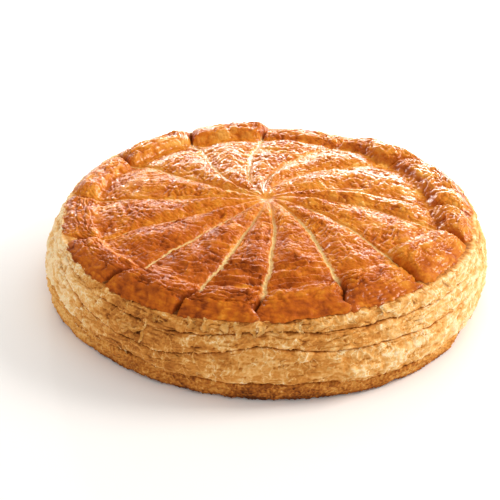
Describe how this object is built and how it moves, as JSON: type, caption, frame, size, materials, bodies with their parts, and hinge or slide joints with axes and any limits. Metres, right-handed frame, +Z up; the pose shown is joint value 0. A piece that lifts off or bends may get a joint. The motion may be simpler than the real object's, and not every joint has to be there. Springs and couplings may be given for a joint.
{
  "type": "galette des rois",
  "caption": "Uncut round puff pastry cake with a glazed top scored in a curved rosette, puffed rim blocks and a layered side; rests on its flat base.",
  "frame": {"origin": "centre of the flat base, on the surface the cake rests on", "axes": "+Z up out of the glazed top; +X and +Y across the cake, with the view that shows it best looking along +Y"},
  "size_m": [0.2497, 0.2497, 0.0489],
  "materials": {
    "pastry": "egg-glazed golden brown puff pastry, matt and paler on the layered side"
  },
  "bodies": {
    "root": {"galette": "pastry"}
  },
  "joints": []
}
